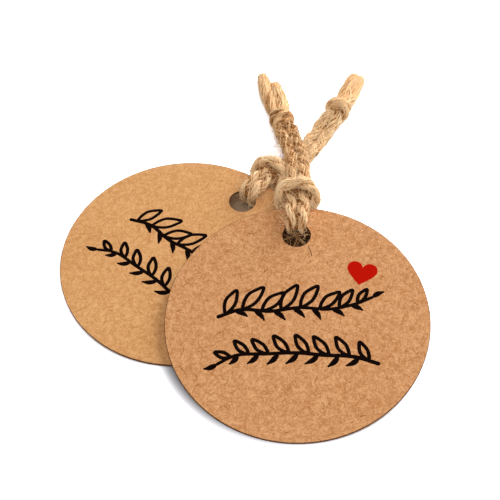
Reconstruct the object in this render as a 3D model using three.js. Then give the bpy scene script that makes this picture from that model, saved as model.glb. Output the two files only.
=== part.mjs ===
// A pair of round kraft hang tags, one lying on the other, each with a jute twine hitched through its hole.
// Millimetres, +Z up, the table at z = 0, the strings pointing along +Y.
import * as THREE from "three";

// Driving sizes of one tag
const cardDiameter = 45;
const cardThickness = 0.5;
const holeDiameter = 5;
const holeToEdge = 3.7;
const cardSegments = 120;
const holeSegments = 40;

// Driving sizes of the twine
const twineDiameter = 1.9;
const twineSides = 8;
const strandSpacing = 2.1;
const endSpacing = 2.2;
const faceGap = 0.3;

// The overhand knot that ties both strands together, as a plain barrel
const knotLength = 3.8;
const knotWidth = 5.2;
const knotHeight = 4.2;
const knotFaceWidth = 4.1;
const knotSegments = 16;
// The share of the knot's length over which it has its full width
const knotFullShare = 0.35;

// How far along the twine the string starts to bend away from the hitch, measured from the hole's centre
const hitchReach = 11.7;

// Steps along each stretch of twine
const hitchSteps = 44;
const tailSteps = 8;
const endSteps = 4;

// How finely a twine's length is measured
const lengthProbes = 2000;

// Table clearance under each card's lowest rim
const tableGap = 0.03;

// The two tags: where the hole's centre is in plan, which way the hole points (degrees clockwise from +Y),
// how far the hole's side is raised and how far the right side is raised (degrees).
// The hitch is the lark's head round the strip of card between hole and rim, from the left strand to the right
// one, in the tag's own frame from the hole's centre: right, towards the rim, up.
// The tail is the line midway between the two strands, from the hitch to the knot, and the ends go on from it.
const tags = {
  back: {
    hole: [0.84, 19.54],
    heading: 41.2,
    lift: 2.55,
    roll: -3.32,
    hitch: [
      [-1.15, 8.2, 0.6],
      [-1.15, 6.2, 1.25],
      [-1.1, 4.1, 1.5],
      [-1.05, 2.2, 1.45],
      [-1.0, 1.1, 0.9],
      [-1.0, 0.85, 0],
      [-1.0, 1.1, -0.9],
      [-1.1, 2.3, -1.5],
      [-1.6, 4.3, -1.5],
      [-2.4, 6.3, -1.4],
      [-3.15, 7.5, -0.4],
      [-3.25, 8.5, 0.7],
      [-2.5, 9.5, 1.75],
      [-0.7, 10.2, 2.25],
      [0.9, 10.2, 2.3],
      [2.2, 9.6, 1.8],
      [3.0, 8.5, 0.7],
      [2.95, 7.5, -0.4],
      [2.3, 6.3, -1.4],
      [1.5, 4.3, -1.5],
      [1.05, 2.3, -1.5],
      [1.0, 1.1, -0.9],
      [1.0, 0.85, 0],
      [1.0, 1.1, 0.9],
      [1.0, 2.2, 1.45],
      [0.95, 4.1, 1.5],
      [0.95, 6.2, 1.25],
      [0.95, 8.2, 0.6],
    ],
    tail: [
      [7.4, 27.05, 3.15],
      [9.6, 29.4, 2.1],
      [12.2, 32.4, 1.2],
      [14.8, 35.9, 1.05],
      [17.4, 40.0, 1.25],
      [19.8, 43.8, 2.1],
    ],
    knot: [21.1, 45.8, 2.3],
    ends: [
      [22.4, 47.95, 2.2],
      [23.5, 50.1, 1.75],
      [24.4, 52.7, 1.4],
      [25.7, 55.7, 1.25],
      [27.1, 58.9, 1.15],
    ],
  },
  front: {
    hole: [10.68, 8.84],
    heading: 2.8,
    lift: 6.34,
    roll: 1.14,
    hitch: [
      [-1.05, 8.2, 0.8],
      [-1.1, 6.2, 1.3],
      [-1.1, 4.1, 1.5],
      [-1.05, 2.2, 1.45],
      [-1.0, 1.1, 0.9],
      [-1.0, 0.85, 0],
      [-1.0, 1.1, -0.9],
      [-1.05, 2.3, -1.5],
      [-1.5, 4.3, -1.5],
      [-2.3, 6.3, -1.4],
      [-2.95, 7.6, -0.4],
      [-3.1, 8.6, 0.8],
      [-2.3, 9.6, 2.1],
      [-0.6, 10.2, 2.7],
      [1.2, 10.2, 2.75],
      [2.8, 9.5, 2.0],
      [3.4, 8.4, 0.7],
      [3.15, 7.5, -0.4],
      [2.4, 6.3, -1.4],
      [1.5, 4.3, -1.5],
      [1.05, 2.3, -1.5],
      [1.0, 1.1, -0.9],
      [1.0, 0.85, 0],
      [1.0, 1.1, 0.9],
      [1.1, 2.2, 1.45],
      [1.2, 4.1, 1.5],
      [1.2, 6.2, 1.3],
      [1.15, 8.2, 0.8],
    ],
    tail: [
      [11.2, 18.7, 6.2],
      [11.6, 23.1, 5.9],
      [11.7, 28.3, 4.9],
      [11.3, 32.6, 3.85],
      [10.5, 36.9, 2.9],
      [9.75, 41.4, 2.25],
    ],
    knot: [9.3, 43.65, 2.3],
    ends: [
      [8.75, 46, 2.2],
      [8.35, 48.8, 1.65],
      [7.6, 52.6, 1.4],
      [7.0, 56.3, 1.25],
      [6.5, 59.7, 1.15],
    ],
  },
};

const kraft = new THREE.MeshStandardMaterial({ color: "#d29b69", roughness: 0.9, metalness: 0 });
const jute = new THREE.MeshStandardMaterial({ color: "#c9a26e", roughness: 1, metalness: 0 });

const cardRadius = cardDiameter / 2;
const holeRadius = holeDiameter / 2;
const holeOffset = cardRadius - holeToEdge - holeRadius;
const twineRadius = twineDiameter / 2;

// A piece of another curve, between two distances along it
class Stretch extends THREE.Curve {
  constructor(whole, from, to) {
    super();
    this.whole = whole;
    this.from = from / whole.getLength();
    this.to = to / whole.getLength();
  }
  getPoint(t, target = new THREE.Vector3()) {
    return this.whole.getPointAt(THREE.MathUtils.lerp(this.from, this.to, t), target);
  }
}

function named(name, geometry, material) {
  const mesh = new THREE.Mesh(geometry, material);
  mesh.name = name;
  return mesh;
}

// The tag's frame: its origin at the card's centre, +Y towards the hole, +Z out of the upper face.
// The card is tilted by its angles and stands on the table with its lowest rim.
function tagFrame({ hole, heading, lift, roll }) {
  const frame = new THREE.Group();
  frame.rotation.set(
    THREE.MathUtils.degToRad(lift),
    THREE.MathUtils.degToRad(-roll),
    THREE.MathUtils.degToRad(-heading),
    "ZXY",
  );
  frame.updateMatrix();
  const toHole = new THREE.Vector3(0, holeOffset, 0).applyEuler(frame.rotation);
  const up = new THREE.Vector3(0, 0, 1).applyEuler(frame.rotation);
  const slope = Math.hypot(up.x, up.y);
  frame.position.set(
    hole[0] - toHole.x,
    hole[1] - toHole.y,
    tableGap + cardRadius * slope + (cardThickness / 2) * up.z,
  );
  frame.updateMatrix();
  return frame;
}

function cardGeometry() {
  const outline = new THREE.Shape();
  outline.absarc(0, 0, cardRadius, 0, 2 * Math.PI);
  const disc = new THREE.Shape(outline.getSpacedPoints(cardSegments).slice(0, -1));
  const punch = new THREE.Path();
  punch.absarc(0, holeOffset, holeRadius, 0, 2 * Math.PI);
  disc.holes.push(new THREE.Path(punch.getSpacedPoints(holeSegments).slice(0, -1)));
  const geometry = new THREE.ExtrudeGeometry(disc, { depth: cardThickness, bevelEnabled: false });
  return geometry.translate(0, 0, -cardThickness / 2);
}

// A plain cord along a curve: a section with few sides and a flat face at each end
function cordGeometry(path, steps) {
  const section = new THREE.Shape();
  const halfSide = Math.PI / twineSides;
  for (let side = 0; side < twineSides; side += 1) {
    const turn = halfSide + 2 * halfSide * side;
    const x = twineRadius * Math.cos(turn);
    const y = twineRadius * Math.sin(turn);
    if (side === 0) section.moveTo(x, y);
    else section.lineTo(x, y);
  }
  section.closePath();
  return new THREE.ExtrudeGeometry(section, { steps, extrudePath: path });
}

// The points of a middle line moved sideways, level with the table: side is -1 for left and 1 for right
function besideLine(points, side, spacing) {
  const line = points.map((point) => new THREE.Vector3(...point));
  return line.map((point, i) => {
    const before = line[Math.max(i - 1, 0)];
    const after = line[Math.min(i + 1, line.length - 1)];
    const right = new THREE.Vector3(after.y - before.y, before.x - after.x, 0).normalize();
    return point.clone().addScaledVector(right, (side * spacing) / 2);
  });
}

// The whole twine from the knot, through the hole and back to the knot
function twineCurve({ hitch, tail }, frame) {
  const points = hitch.map(([right, out, up]) =>
    new THREE.Vector3(right, holeOffset + out, up).applyMatrix4(frame.matrix),
  );
  const left = besideLine(tail, -1, strandSpacing).reverse();
  const right = besideLine(tail, 1, strandSpacing);
  const curve = new THREE.CatmullRomCurve3([...left, ...points, ...right], false, "centripetal");
  curve.arcLengthDivisions = lengthProbes;
  return curve;
}

// The distance along a twine, counted from one of its ends, at which it passes the plane where the string bends
function distanceToHitch(curve, frame, fromEnd) {
  const inverse = frame.matrix.clone().invert();
  for (let i = 0; i <= lengthProbes; i += 1) {
    const t = i / lengthProbes;
    const point = curve.getPointAt(fromEnd ? 1 - t : t).applyMatrix4(inverse);
    if (point.y < holeOffset + hitchReach) return t * curve.getLength();
  }
  throw new Error("the twine never reaches the hitch");
}

function knotGeometry(from, to) {
  const half = knotLength / 2;
  const profile = [
    [0, -half],
    [knotFaceWidth / 2, -half],
    [knotWidth / 2, -half * knotFullShare],
    [knotWidth / 2, half * knotFullShare],
    [knotFaceWidth / 2, half],
    [0, half],
  ].map(([radius, along]) => new THREE.Vector2(radius, along));
  const geometry = new THREE.LatheGeometry(profile, knotSegments);
  geometry.scale(1, 1, knotHeight / knotWidth);
  const turn = Math.atan2(to[1] - from[1], to[0] - from[0]) - Math.PI / 2;
  return geometry.rotateZ(turn);
}

const pair = new THREE.Group();
for (const [name, tag] of Object.entries(tags)) {
  const frame = tagFrame(tag);
  frame.add(named(`${name}_card`, cardGeometry(), kraft));
  pair.add(frame);

  const twine = twineCurve(tag, frame);
  const length = twine.getLength();
  const leftTail = distanceToHitch(twine, frame, false);
  const rightTail = distanceToHitch(twine, frame, true);
  const hitch = new Stretch(twine, leftTail + faceGap / 2, length - rightTail - faceGap / 2);
  const left = new Stretch(twine, 0, leftTail - faceGap / 2);
  const right = new Stretch(twine, length - rightTail + faceGap / 2, length);
  pair.add(named(`${name}_hitch`, cordGeometry(hitch, hitchSteps), jute));
  pair.add(named(`${name}_tail_left`, cordGeometry(left, tailSteps), jute));
  pair.add(named(`${name}_tail_right`, cordGeometry(right, tailSteps), jute));

  const knot = named(`${name}_knot`, knotGeometry(tag.tail.at(-1), tag.ends[0]), jute);
  knot.position.set(...tag.knot);
  pair.add(knot);
  for (const [sideName, side] of [["left", -1], ["right", 1]]) {
    const line = new THREE.CatmullRomCurve3(besideLine(tag.ends, side, endSpacing));
    pair.add(named(`${name}_end_${sideName}`, cordGeometry(line, endSteps), jute));
  }
}

export default pair;
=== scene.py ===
"""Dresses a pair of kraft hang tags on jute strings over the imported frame. Metres, +Z up, Blender 4.5."""

import math

import bmesh
import bpy
import numpy as np
from bpy.props import FloatProperty, FloatVectorProperty, IntProperty, PointerProperty
from bpy.types import Operator, Panel, PropertyGroup
from mathutils import Matrix, Vector


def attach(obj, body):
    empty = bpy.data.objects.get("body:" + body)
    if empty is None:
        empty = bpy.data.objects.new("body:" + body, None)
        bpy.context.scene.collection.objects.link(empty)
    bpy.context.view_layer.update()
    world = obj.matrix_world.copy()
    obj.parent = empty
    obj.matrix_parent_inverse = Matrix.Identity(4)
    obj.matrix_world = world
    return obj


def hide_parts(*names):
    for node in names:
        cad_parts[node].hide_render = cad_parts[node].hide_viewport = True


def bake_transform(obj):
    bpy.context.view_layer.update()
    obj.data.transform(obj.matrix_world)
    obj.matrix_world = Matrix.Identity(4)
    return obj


bl_info = {
    "name": "Kraft hang tags",
    "version": (1, 0, 0),
    "blender": (4, 5, 0),
    "location": "3D View > Sidebar > Hang tags",
    "description": "A pair of round kraft cards, each on a hitched and knotted jute string",
    "category": "Object",
}

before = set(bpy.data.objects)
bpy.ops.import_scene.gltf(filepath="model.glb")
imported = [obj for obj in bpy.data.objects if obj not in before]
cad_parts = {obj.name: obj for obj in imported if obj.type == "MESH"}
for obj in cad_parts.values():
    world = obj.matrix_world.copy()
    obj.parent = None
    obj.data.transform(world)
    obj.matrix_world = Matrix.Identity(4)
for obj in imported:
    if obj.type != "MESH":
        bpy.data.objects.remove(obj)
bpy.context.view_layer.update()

# Each tag's own values. The hole's centre is in plan. Heading turns the hole's side clockwise from +Y, lift
# raises it and roll raises the right side, in degrees. The hitch is in the tag's own frame, from the hole's
# centre: right, towards the rim, up. The tail is midway between the two strands, and the ends go on from the
# knot. Tint multiplies the board's colour, and mottle is how strong its pattern is. The knot's wraps start at
# an angle, and are shifted along the string, scaled and made paler. An end bundle is its place across the
# string, its share of the ends' length and its radius. The web is the number of pale fibres in the top of
# the hole and of dark ones below the board, which are painted shade in the hole. The floor's painted shade
# fades out between the two distances of painted_shade_fade from the card's middle, moved by
# painted_shade_shift. A stray fibre lies on the board between two points of the tag's own frame.
TAGS = {
    "back": {
        "hole": (0.00084, 0.01954),
        "heading": 41.2,
        "lift": 2.55,
        "roll": -3.32,
        "hitch": (
            (-0.00115, 0.0082, 0.0006), (-0.00115, 0.0062, 0.00125), (-0.0011, 0.0041, 0.0015),
            (-0.00105, 0.0022, 0.00145), (-0.001, 0.0011, 0.0009), (-0.001, 0.00085, 0.0),
            (-0.001, 0.0011, -0.0009), (-0.0011, 0.0023, -0.0015), (-0.0016, 0.0043, -0.0015),
            (-0.0024, 0.0063, -0.0014), (-0.00315, 0.0075, -0.0004), (-0.00325, 0.0085, 0.0007),
            (-0.0025, 0.0095, 0.00175), (-0.0007, 0.0102, 0.00225), (0.0009, 0.0102, 0.0023),
            (0.0022, 0.0096, 0.0018), (0.003, 0.0085, 0.0007), (0.00295, 0.0075, -0.0004),
            (0.0023, 0.0063, -0.0014), (0.0015, 0.0043, -0.0015), (0.00105, 0.0023, -0.0015),
            (0.001, 0.0011, -0.0009), (0.001, 0.00085, 0.0), (0.001, 0.0011, 0.0009),
            (0.001, 0.0022, 0.00145), (0.00095, 0.0041, 0.0015), (0.00095, 0.0062, 0.00125),
            (0.00095, 0.0082, 0.0006),
        ),
        "tail": (
            (0.0074, 0.02705, 0.00315), (0.0096, 0.0294, 0.0021), (0.0122, 0.0324, 0.0012),
            (0.0148, 0.0359, 0.00105), (0.0174, 0.04, 0.00125), (0.0198, 0.0438, 0.0021),
        ),
        "knot": (0.0211, 0.0458, 0.0023),
        "ends": (
            (0.0224, 0.04795, 0.0022), (0.0235, 0.0501, 0.00175), (0.0244, 0.0527, 0.0014),
            (0.0257, 0.0557, 0.00125), (0.0271, 0.0589, 0.00115),
        ),
        "seed": 11,
        "tint": (1.05, 1.11, 1.05),
        "mottle": 0.6,
        "knot_start": 2.4,
        "knot_shift": 0.0008,
        "knot_scale": 1.15,
        "knot_pale": 0.3,
        "end_bundles": ((-0.0007, 0.96, 0.00145), (0.0008, 0.94, 0.00145)),
        "web": (0, 0),
        "tail_pale": 0.4,
        "painted_shade_fade": (0.0215, 0.0226),
        "painted_shade_shift": (0.0, 0.0),
        "stray": (),
    },
    "front": {
        "hole": (0.01068, 0.00884),
        "heading": 2.8,
        "lift": 6.34,
        "roll": 1.14,
        "hitch": (
            (-0.00105, 0.0082, 0.0008), (-0.0011, 0.0062, 0.0013), (-0.0011, 0.0041, 0.0015),
            (-0.00105, 0.0022, 0.00145), (-0.001, 0.0011, 0.0009), (-0.001, 0.00085, 0.0),
            (-0.001, 0.0011, -0.0009), (-0.00105, 0.0023, -0.0015), (-0.0015, 0.0043, -0.0015),
            (-0.0023, 0.0063, -0.0014), (-0.00295, 0.0076, -0.0004), (-0.0031, 0.0086, 0.0008),
            (-0.0023, 0.0096, 0.0021), (-0.0006, 0.0102, 0.0027), (0.0012, 0.0102, 0.00275),
            (0.0028, 0.0095, 0.002), (0.0034, 0.0084, 0.0007), (0.00315, 0.0075, -0.0004),
            (0.0024, 0.0063, -0.0014), (0.0015, 0.0043, -0.0015), (0.00105, 0.0023, -0.0015),
            (0.001, 0.0011, -0.0009), (0.001, 0.00085, 0.0), (0.001, 0.0011, 0.0009),
            (0.0011, 0.0022, 0.00145), (0.0012, 0.0041, 0.0015), (0.0012, 0.0062, 0.0013),
            (0.00115, 0.0082, 0.0008),
        ),
        "tail": (
            (0.0112, 0.0187, 0.0062), (0.0116, 0.0231, 0.0059), (0.0117, 0.0283, 0.0049),
            (0.0113, 0.0326, 0.00385), (0.0105, 0.0369, 0.0029), (0.00975, 0.0414, 0.00225),
        ),
        "knot": (0.0093, 0.04365, 0.0023),
        "ends": (
            (0.00875, 0.046, 0.0022), (0.00835, 0.0488, 0.00165), (0.0076, 0.0526, 0.0014),
            (0.007, 0.0563, 0.00125), (0.0065, 0.0597, 0.00115),
        ),
        "seed": 23,
        "tint": (1.0, 1.0, 1.0),
        "mottle": 0.85,
        "knot_start": 0.6,
        "knot_shift": -0.0002,
        "knot_scale": 1.05,
        "knot_pale": -0.12,
        "end_bundles": ((-0.00095, 1.0, 0.0016), (0.0011, 0.8, 0.0017)),
        "web": (13, 110),
        "tail_pale": -0.3,
        "painted_shade_fade": (0.0219, 0.0242),
        "painted_shade_shift": (-0.0009, 0.0015),
        "stray": (((0.00209, 0.01395), (0.00272, 0.01181)),),
    },
}

# Lines: the steps in each span of a curve, the spacing of the even points that it gets then, the length that
# stands for none, and how far from upright a line has to start for its sides to be taken from level
SPAN_STEPS = 24
LINE_STEP = 0.0004
NO_LENGTH = 1e-12
LEAST_SLANT = 0.1

# The table lies this far below the lowest rim, and the two strands of a tail this far apart
TABLE_GAP = 0.00003
STRAND_SPACING = 0.00225

# The string starts and ends inside the knot, at this share of the way from its middle to the tail
KNOT_TUCK = 0.35

# At the hole the hitch is pulled towards the rim of the card, less and less up to the reach
HOLE_TUCK = 0.0008
HOLE_REACH = 0.003

# The twine's share of its full width by its distance from the hole's middle, how loose it is by its distance
# from the knot, and how much paler it is by its distance from the top of the hitch's loop, a painted
# highlight on the crown. The hitch is paler than the tails by a painted light
WIDTH_FROM_HOLE = ((0.001, 0.0018, 0.0045), (0.72, 0.78, 1.0))
LOOSE_FROM_KNOT = ((0.012, 0.024), (1.0, 0.0))
PAINTED_HIGHLIGHT_FROM_CROWN = ((0.0035, 0.007), (0.6, 0.0))
HITCH_PAINTED_LIGHT = 0.25
TAIL_SWELL = 0.12

# How the twine is spun: the lengths of one turn of its two plies and of the fibres in a ply. The other sizes
# are shares of the twine's width: how far the plies lie from its middle and the fibres from their ply's
# middle, and a fibre's radius with its limits
PLY_TURN = 0.0075
FIBRE_TURN = 0.011
PLY_OUT = 0.185
BUNDLE_OUT = 0.225
FIBRE_RADIUS = 0.055
FIBRE_RADII = (0.03, 0.1)
FIBRES_PER_PLY = 13

# The sides of a round strand, and how far its UV map is moved round from that of the strand before it
STRAND_SIDES = 5
UV_SHIFT = 7.0

# In loose twine the plies lie closer together by the first share, and their bundles are wider by the second
LOOSE_PLIES = 0.55
LOOSE_BUNDLES = 0.33

# The length over which things wander in the twine, and how much they do
WANDER_REACH = 0.002
PLY_TURN_WANDER = 0.45
PLY_OUT_WANDER = 0.12
FIBRE_TURN_WANDER = 0.25
FIBRE_OUT_WANDER = 0.035
FIBRE_RADIUS_WANDER = 0.014
TONE_WANDER = 0.2

# Tones, from 0 for deep to 1 for pale: the inside of a ply, dark as painted shade between its fibres, and the
# share of the twine's paleness there, and the fibres by their distance from the twine's middle as a share of
# its width, darker inward as painted shade in the crevices between the plies
PLY_INSIDE_SHADE_TONE = -0.2
PLY_INSIDE_PALE = 0.5
PAINTED_SHADE_FROM_MIDDLE = ((0.15, 0.24, 0.34, 0.42), (-0.4, 0.05, 0.6, 0.8))
TONE_SPREAD = 0.2
TONE_LIMITS = (-0.5, 1.2)

# Loose fibres over the plies: how many, their length, their turn from the ply's and its change along them,
# their distance from the middle in widths and how it bows, their radius, how it tapers, and their tones
OVER_PER_METRE = 4200
OVER_LENGTH = (0.003, 0.008)
OVER_TURN_SPREAD = 0.6
OVER_DRIFT_SPREAD = 0.5
OVER_OUT = (0.38, 0.49)
OVER_BOW = 0.06
OVER_RADIUS = (0.00003, 0.00007)
OVER_TAPER = ((0, 0.2, 0.8, 1), (0.4, 1, 1, 0.4))
OVER_TONE = (0.7, 0.3)
OVER_TONE_LIMITS = (0, 1.3)

# Dark fillers, painted shade in the gaps of the twine: under the line between the two strands, which starts
# at this many points of the hitch from its ends, and across its loop at these distances from the hole's
# centre and heights
SHADE_FILLER_RADIUS = 0.0006
SHADE_FILLER_TONE = -0.3
SHADE_FILLER_DROP = 0.0003
SHADE_FILLER_POINTS = 5
CROSS_SHADE_FILLERS = ((0.0071, -0.0003), (0.0077, 0.0004), (0.0083, 0.001), (0.0089, 0.0013))
CROSS_HALF = 0.0028

# A loose hair: its points, and how far it goes along its root's direction for each length outwards
HAIR_POINTS = 6
HAIR_ALONG = 0.6

# A card: the sides of its circles, the bevel of its edges and the angle from which an edge is bevelled. Its
# faces are smooth, or have the edge's material, where they are less level than this, from 0 for upright to 1
CARD_SEGMENTS = 192
EDGE_BEVEL = 0.0001
CORNER_ANGLE = math.radians(60)
SMOOTH_BELOW = 0.98
EDGE_BELOW = 0.97

# A knot's wraps: the half sizes of their middle line across and upright, their turns and how far apart these
# are, how close they lie by the share of the way, how they lean, and the thickness of their strand as a share
# of the string's. Inside them lies a short thick core
KNOT_HALF = (0.00155, 0.0012)
KNOT_TURNS = 2.6
KNOT_PITCH = 0.001
KNOT_CLOSE = ((0.0, 0.1, 0.5, 0.9, 1.0), (0.4, 0.9, 1.1, 0.95, 0.4))
KNOT_LEAN = 0.0008
KNOT_LEAN_TURN = 0.6
KNOT_LEAN_FADE = 1.6
KNOT_STRAND = 0.86
KNOT_POINTS = 72
KNOT_CORE_HALF = 0.0018
KNOT_CORE_RADIUS = 0.0013
KNOT_CORE_TONE = 0.15

# The frayed ends: how far they go on past their last point, in its spacing, how far apart their bundles lie
# and how thick they are by the share of the way, and how flat a bundle is
END_REACH = 0.45
END_APART = ((0.0, 0.3, 1.0), (0.5, 1.0, 1.05))
END_OUTLINE = ((0.0, 0.2, 0.5, 0.85, 0.94, 1.0), (0.7, 0.9, 1.0, 0.88, 0.7, 0.3))
END_FLAT = 0.8
END_CORE_TONE = 0.3

# Their fibres: how many, the length of one turn and its spread, how far out they lie as a share of the
# bundle, where they end if they lie inside or outside, the share that starts late and how late, how they
# wander sideways and upright, their radii, how these taper, and their tones
END_FIBRES = 110
END_TURN = 0.03
END_TURNS = (0.6, 0.7)
END_OUT = (0.45, 1.0)
END_INSIDE = 0.85
END_INSIDE_LAST = 0.93
END_OUTSIDE_LAST = 0.8
END_FEWEST_POINTS = 8
END_LATE_SHARE = 0.5
END_LATE = 0.35
END_WANDER_POINTS = 10
END_WANDER = (0.00012, 0.0001)
END_RADII = (0.00006, 0.00013)
END_TAPER = ((0.0, 0.1, 0.75, 1.0), (0.5, 1.0, 0.9, 0.35))
END_TONE = (0.55, 0.25)
END_TONE_RISE = 0.25

# The wisps at their tips: where they start, how far out, their directions, their length, curl and radius
END_WISPS = 30
END_WISP_SPAN = 8
END_WISP_PLACE = (0.8, 0.99)
END_WISP_ROOT = 0.75
END_WISP_OUT = 0.25
END_WISP_ALONG = 1.5
END_WISP_LENGTH = (0.0007, 0.0016)
END_WISP_CURL = 0.15
END_WISP_RADIUS = 0.00004
END_WISP_THIN = 0.4
END_WISP_TONE = 0.6

# Fuzz: its roots' distance from the middle as a share of the width, its directions, length, curl and radius
FUZZ_ROOT = 0.42
FUZZ_OUT = 0.7
FUZZ_LEAN = (0.3, 1.2)
FUZZ_LENGTH = (0.0007, 0.0023)
FUZZ_CURL = 0.3
FUZZ_RADIUS = (0.000025, 0.00005)
FUZZ_THIN = 0.5
FUZZ_TONE = (0.6, 0.2)
FUZZ_SIDES = 3

# Stray fibres on the board: their radius, their bend to the right and their tone
STRAY_RADIUS = 0.00006
STRAY_BEND = 0.00012
STRAY_TONE = -0.9

# Fibres across the hole, in its web at the top and in the dark mat below the board, which is painted shade in
# the hole: their height from the board's middle, their reach in radii of the hole, their radius and their
# tone, how far their ends are from opposite each other, and how far their middle strays level and upright
WEB_HEIGHT = (-0.0004, 0.0001)
WEB_REACH = 0.97
WEB_RADIUS = (0.000035, 0.00006)
WEB_TONE = (-0.55, 0.0)
SHADE_MAT_HEIGHT = (-0.0016, -0.0005)
SHADE_MAT_REACH = (0.9, 1.5)
SHADE_MAT_RADIUS = (0.00008, 0.00014)
SHADE_MAT_TONE = -1.3
WEB_TURN_SPREAD = 0.9
WEB_MIDDLE_SPREAD = (0.0004, 0.0001)

# What each pattern's group puts out
GROUP_OUTPUTS = (("Colour", "Color"), ("Height", "Float"), ("Roughness", "Float"))

# Unbleached board, with its patterns in millimetres: its dark and light fibres and flecks as their angle,
# length and width, the part of their noise that is drawn, how much each pattern darkens or lightens, and the
# tints that these give
DARK_FIBRES = ((8, 1.5, 0.3), (52, 1.3, 0.26), (97, 1.6, 0.3), (146, 1.3, 0.27))
LIGHT_FIBRES = ((30, 1.4, 0.27), (75, 1.5, 0.3), (121, 1.2, 0.28), (168, 1.5, 0.26))
FLECKS = ((20, 1.9, 0.3), (70, 1.7, 0.26), (125, 2.0, 0.28))
FIBRE_RANGE = (0.56, 0.72)
FLECK_RANGE = (0.7, 0.76)
MOTTLE_WEIGHT = 0.42
GRAIN_WEIGHT = 0.36
CLOUD_WEIGHT = 0.14
FIBRE_WEIGHT = 0.5
FLECK_STRENGTH = 0.9
DARK_TINT = (0.76, 0.63, 0.47)
LIGHT_TINT = (1.25, 1.42, 1.64)
FLECK_TINT = (0.5, 0.33, 0.22)
BOARD_ROUGHNESS = (0.78, 0.95)
BOARD_GLOSS = 0.25
FACE_BUMP = 0.25
EDGE_MOTTLE = 1.0
EDGE_BUMP = 0.8
BOARD_RELIEF = 0.00005

# Ink on board: the share of its own colour, and the board's mottle, gloss and relief in it
INK_COVER = 0.93
INK_MOTTLE = 0.6
INK_GLOSS = 0.02
INK_BUMP = 0.3
INK_RELIEF = 0.00004

# Jute: how its streaks are stretched along the fibre, how much they and the joints in it change its tone, the
# tone of its middle colour, the tone at which it is darkened to the least share, and how pale each finish is
STREAK_SCALE = (700.0, 5.0, 1.0)
STREAK_WEIGHT = 0.5
JOINT_WEIGHT = 0.3
TONE_DROP = 0.4
MIDDLE_TONE = 0.5
DARKEST_TONE = -1.0
DARKEST_SHARE = 0.12
JUTE_ROUGHNESS = (0.62, 0.9)
JUTE_GLOSS = 0.18
JUTE_BUMP = 0.4
JUTE_RELIEF = 0.00005
SPUN_PALE = 0.0
FRAYED_PALE = 0.08
LOOSE_PALE = 0.3

# The floor as the camera sees it: clear of the cards; just under them, a grey painted shade; and further
# under the back card, a warm painted shade seen through its hole, which fades into the grey one between two
# distances from the card's middle. It glows white far away. Other rays see its plain colour
FLOOR_SIZE = 3.0
FLOOR_ROUGHNESS = 0.9
FLOOR_SEEN = (2.0, 2.07, 2.25)
PAINTED_SHADE_UNDER_CARDS = (0.33, 0.335, 0.36)
PAINTED_HOLE_SHADE = (0.34, 0.25, 0.17)
HOLE_SHADE_FADE = (0.0187, 0.0205)
FAR_FADE = (0.1, 0.2)
FADE_POWER = 2.0
BLACK = (0.0, 0.0, 0.0)
WHITE = (1.0, 1.0, 1.0)

# The lamps: their places and sizes, and the share of the main lamp's power that the top lamp has
MAIN_LAMP_PLACE = (0.44, 0.47, 0.29)
MAIN_LAMP_SIZE = 0.42
TOP_LAMP_PLACE = (-0.05, -0.25, 0.65)
TOP_LAMP_SIZE = 0.5
TOP_SHARE = 0.37

# The camera, from the two card outlines in the photograph: its place, how far it looks down and rolls in
# degrees, and its focal length and the middle of its view in pixels
CAMERA_PLACE = (0.004935, -0.08295, 0.11116)
CAMERA_DOWN = 50.15
CAMERA_ROLL = -1.75
CAMERA_FOCUS = 774.8
CAMERA_NEAREST = 0.005
PICTURE_SIDE = 500
PICTURE_MIDDLE = (265.3, 248.9)
SENSOR_WIDTH = 36

# The print, in millimetres in the tag's own frame. A sprig is a stem with leaves, and each leaf is its place
# along the stem from 0 to 1, its length, its angle to the stem and whether it is filled. The outline of an
# open leaf is in its own lengths, along it and across it
MILLIMETRES = 1000
SPRIGS = (
    {
        "stem": (
            (-13.6, -0.6), (-9.5, 0.9), (-4.5, 0.6), (0.5, 1.3), (5.5, 1.0), (10.0, 2.0), (13.2, 3.4),
        ),
        "leaves": (
            (0.06, 5.0, 48, 0), (0.17, 5.6, 50, 0), (0.29, 5.2, 50, 0), (0.41, 5.6, 49, 0),
            (0.53, 5.2, 50, 0), (0.65, 4.8, 48, 0), (0.77, 4.2, 46, 0), (0.89, 3.2, 40, 0),
            (0.12, 2.6, -46, 1), (0.24, 2.8, -46, 1), (0.36, 2.8, -46, 1), (0.48, 2.8, -46, 1),
            (0.6, 2.7, -46, 1), (0.72, 2.6, -44, 1), (0.84, 2.4, -42, 1), (0.99, 2.4, 8, 1),
        ),
    },
    {
        "stem": (
            (13.6, -9.2), (9.5, -7.9), (4.5, -7.6), (0.0, -7.2), (-5.0, -7.4), (-10.0, -7.7), (-13.2, -9.4),
        ),
        "leaves": (
            (0.07, 3.6, -48, 0), (0.19, 4.0, -50, 0), (0.31, 4.2, -50, 0), (0.43, 4.0, -50, 0),
            (0.55, 4.0, -50, 0), (0.67, 3.8, -48, 0), (0.79, 3.4, -46, 0), (0.9, 2.8, -42, 0),
            (0.13, 2.7, 46, 1), (0.25, 2.8, 46, 1), (0.37, 2.9, 46, 1), (0.49, 2.9, 46, 1),
            (0.61, 2.8, 46, 1), (0.73, 2.6, 44, 1), (0.85, 2.3, 42, 1), (0.99, 2.4, -8, 1),
        ),
    },
)
LEAF_OUTLINE = (
    (0.0, 0.0), (0.22, 0.13), (0.52, 0.2), (0.82, 0.11), (1.0, 0.0),
    (0.8, -0.1), (0.48, -0.16), (0.2, -0.1), (0.0, 0.0),
)
HEART_PLACE = (11.35, 8.15)
HEART_TURN = -14
HEART_SIZE = 2.65

# Each corner of the heart: its place, the handle before it and the handle after it, in half widths of it
HEART_CORNERS = (
    ((0.0, -0.92), (0.3, -0.62), (-0.3, -0.62)),
    ((-1.0, 0.3), (-1.0, -0.12), (-1.0, 0.98)),
    ((0.0, 0.42), (-0.1, 0.98), (0.1, 0.98)),
    ((1.0, 0.3), (1.0, 0.98), (1.0, -0.12)),
)
HEART_SMOOTHNESS = 16

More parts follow.
